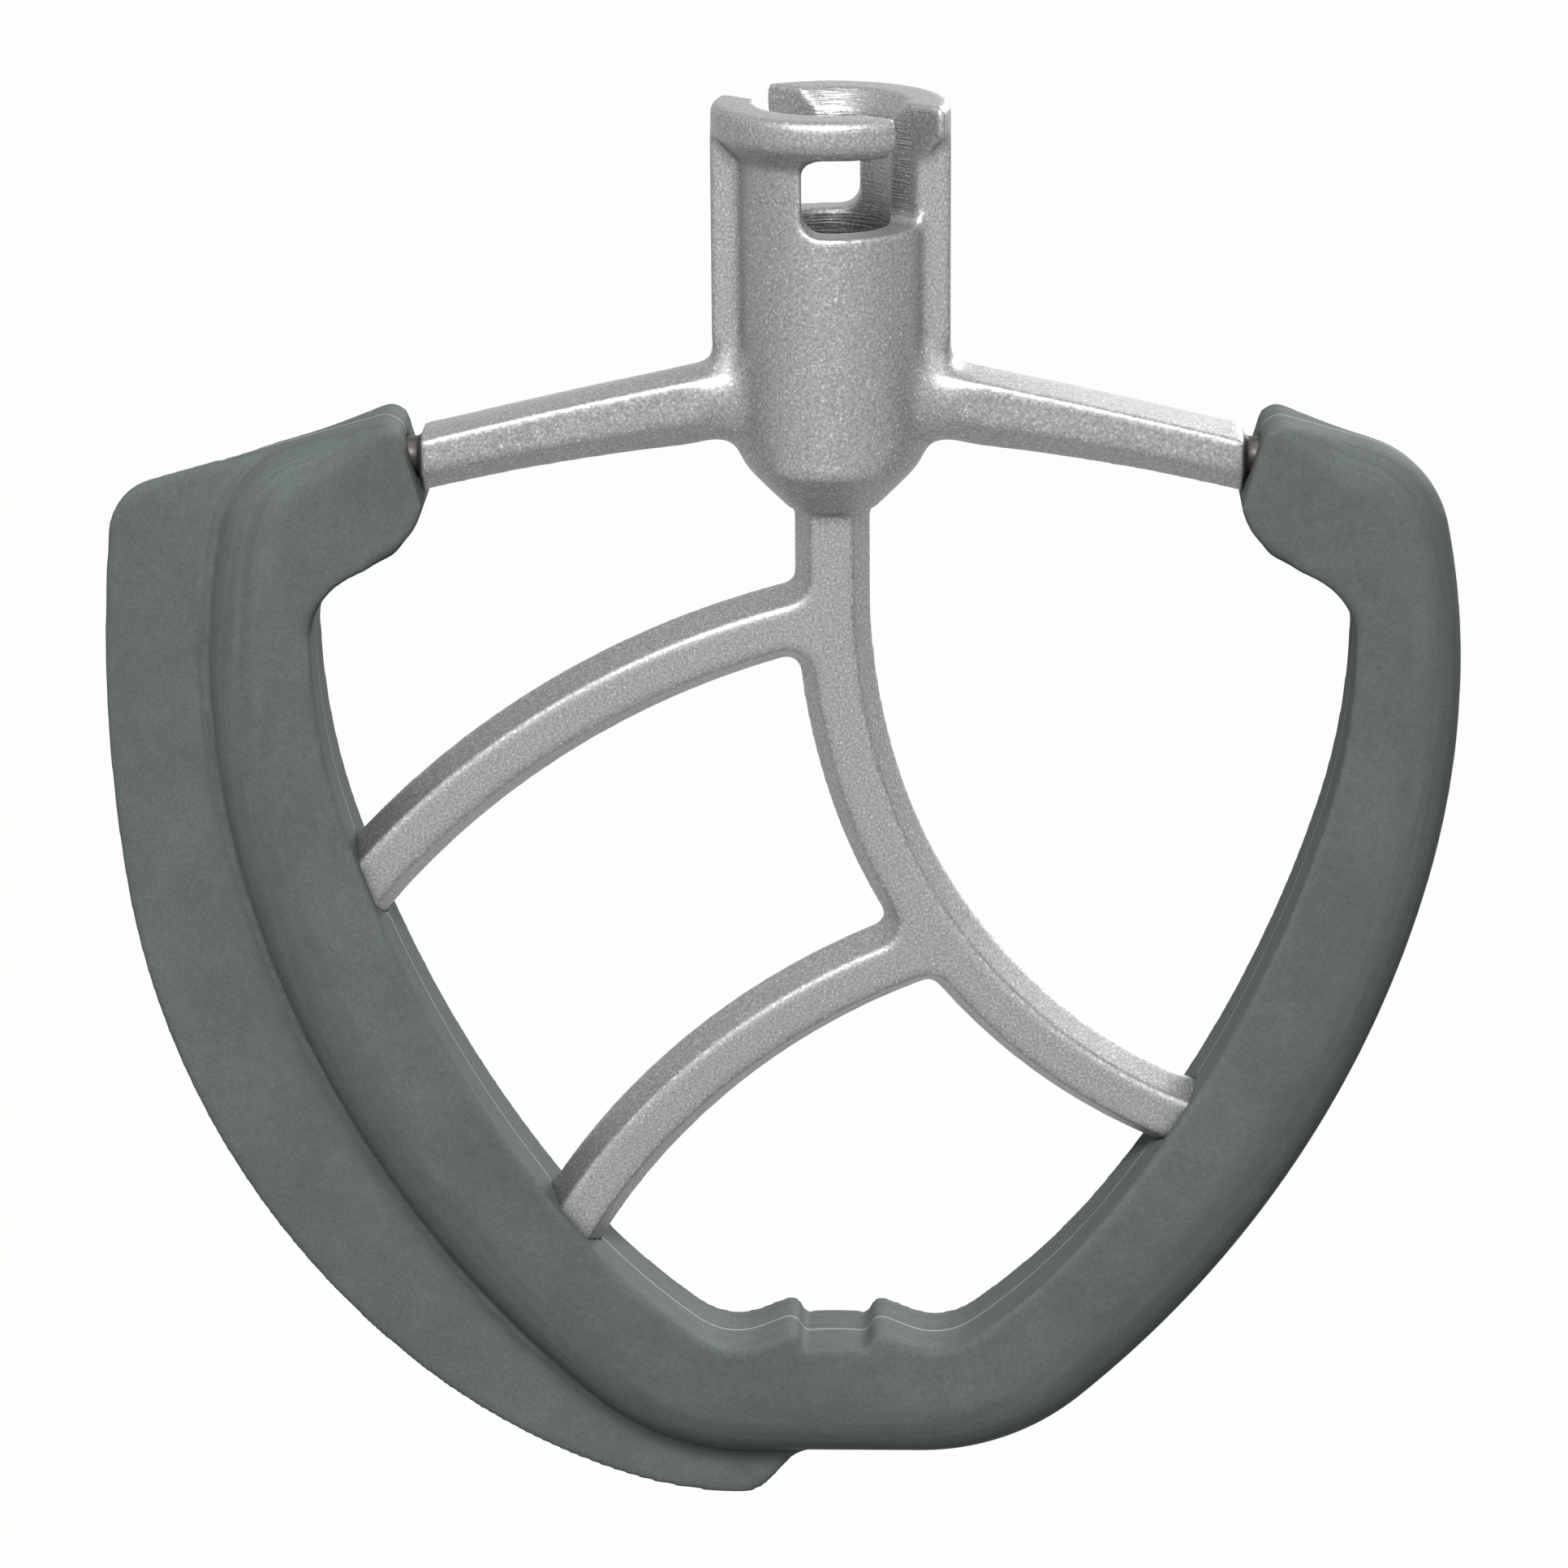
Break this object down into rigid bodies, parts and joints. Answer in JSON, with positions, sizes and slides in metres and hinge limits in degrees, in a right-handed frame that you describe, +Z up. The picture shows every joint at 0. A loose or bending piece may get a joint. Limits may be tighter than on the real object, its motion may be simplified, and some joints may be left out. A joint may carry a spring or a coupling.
{
  "type": "stand mixer pastry beater",
  "caption": "Cast pastry beater for a stand mixer, with curved cutting spokes, a soft scraping rim and fin, and a bayonet collar for the drive shaft.",
  "frame": {"origin": "on the axis of the shaft's bore, half way down its full round wall, 23 mm below the collar's top face", "axes": "+Z up along the shaft's axis, out of the bore; +X to the right as seen from the front; -Y to the front"},
  "size_m": [0.1462, 0.0252, 0.1588],
  "materials": {
    "cast_metal": "fine bead-blasted, burnished",
    "silicone": "satin"
  },
  "bodies": {
    "root": {"cast_frame": "cast_metal", "silicone_edge": "silicone"}
  },
  "joints": []
}
